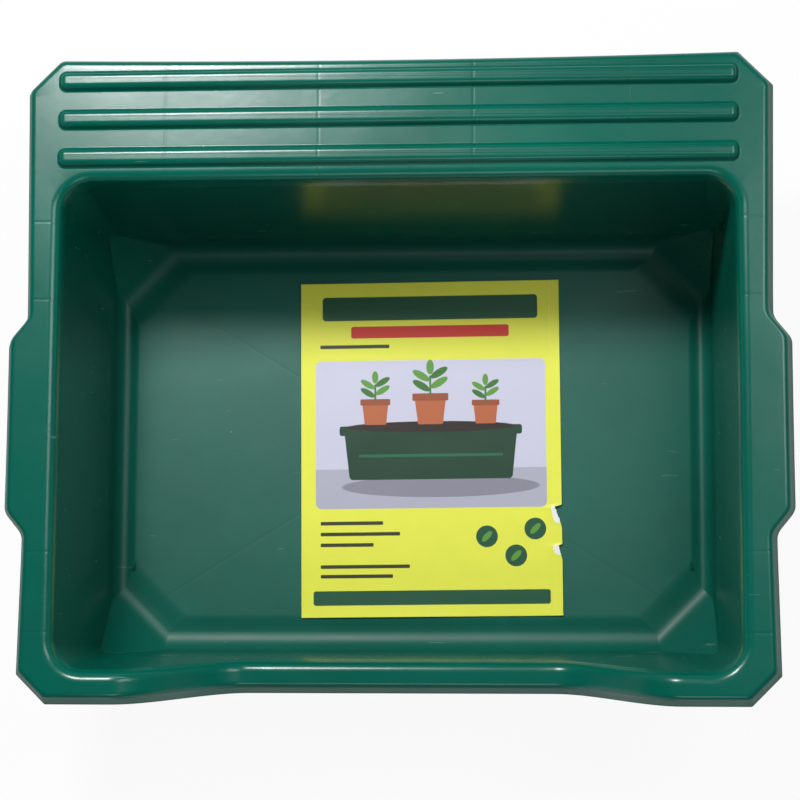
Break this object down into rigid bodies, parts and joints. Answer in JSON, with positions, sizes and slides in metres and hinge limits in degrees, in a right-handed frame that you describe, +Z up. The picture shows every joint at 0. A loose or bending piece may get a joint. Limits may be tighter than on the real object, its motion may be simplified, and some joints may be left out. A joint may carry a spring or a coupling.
{
  "type": "potting tray",
  "caption": "Deep one-piece moulded basin with a ribbed back shelf, side grip tabs and a cut-away front lip, with a loose printed sheet lying on its floor.",
  "frame": {"origin": "on the resting plane, under the middle of the outline", "axes": "+X to the right with the shelf at the back, +Y towards the shelf, +Z up"},
  "size_m": [0.5976, 0.497, 0.2035],
  "materials": {
    "green_plastic": "satin dark green polypropylene with soft, blurred highlights",
    "printed_paper": "smooth yellow printed paper"
  },
  "bodies": {
    "tray": {"tray_moulding": "green_plastic"},
    "sheet": {"insert_sheet": "printed_paper"}
  },
  "joints": [
    {"name": "lift_out", "type": "slide", "parent": "tray", "child": "sheet", "axis": [0, 0, 1], "range_m": [0, 0.25]}
  ]
}
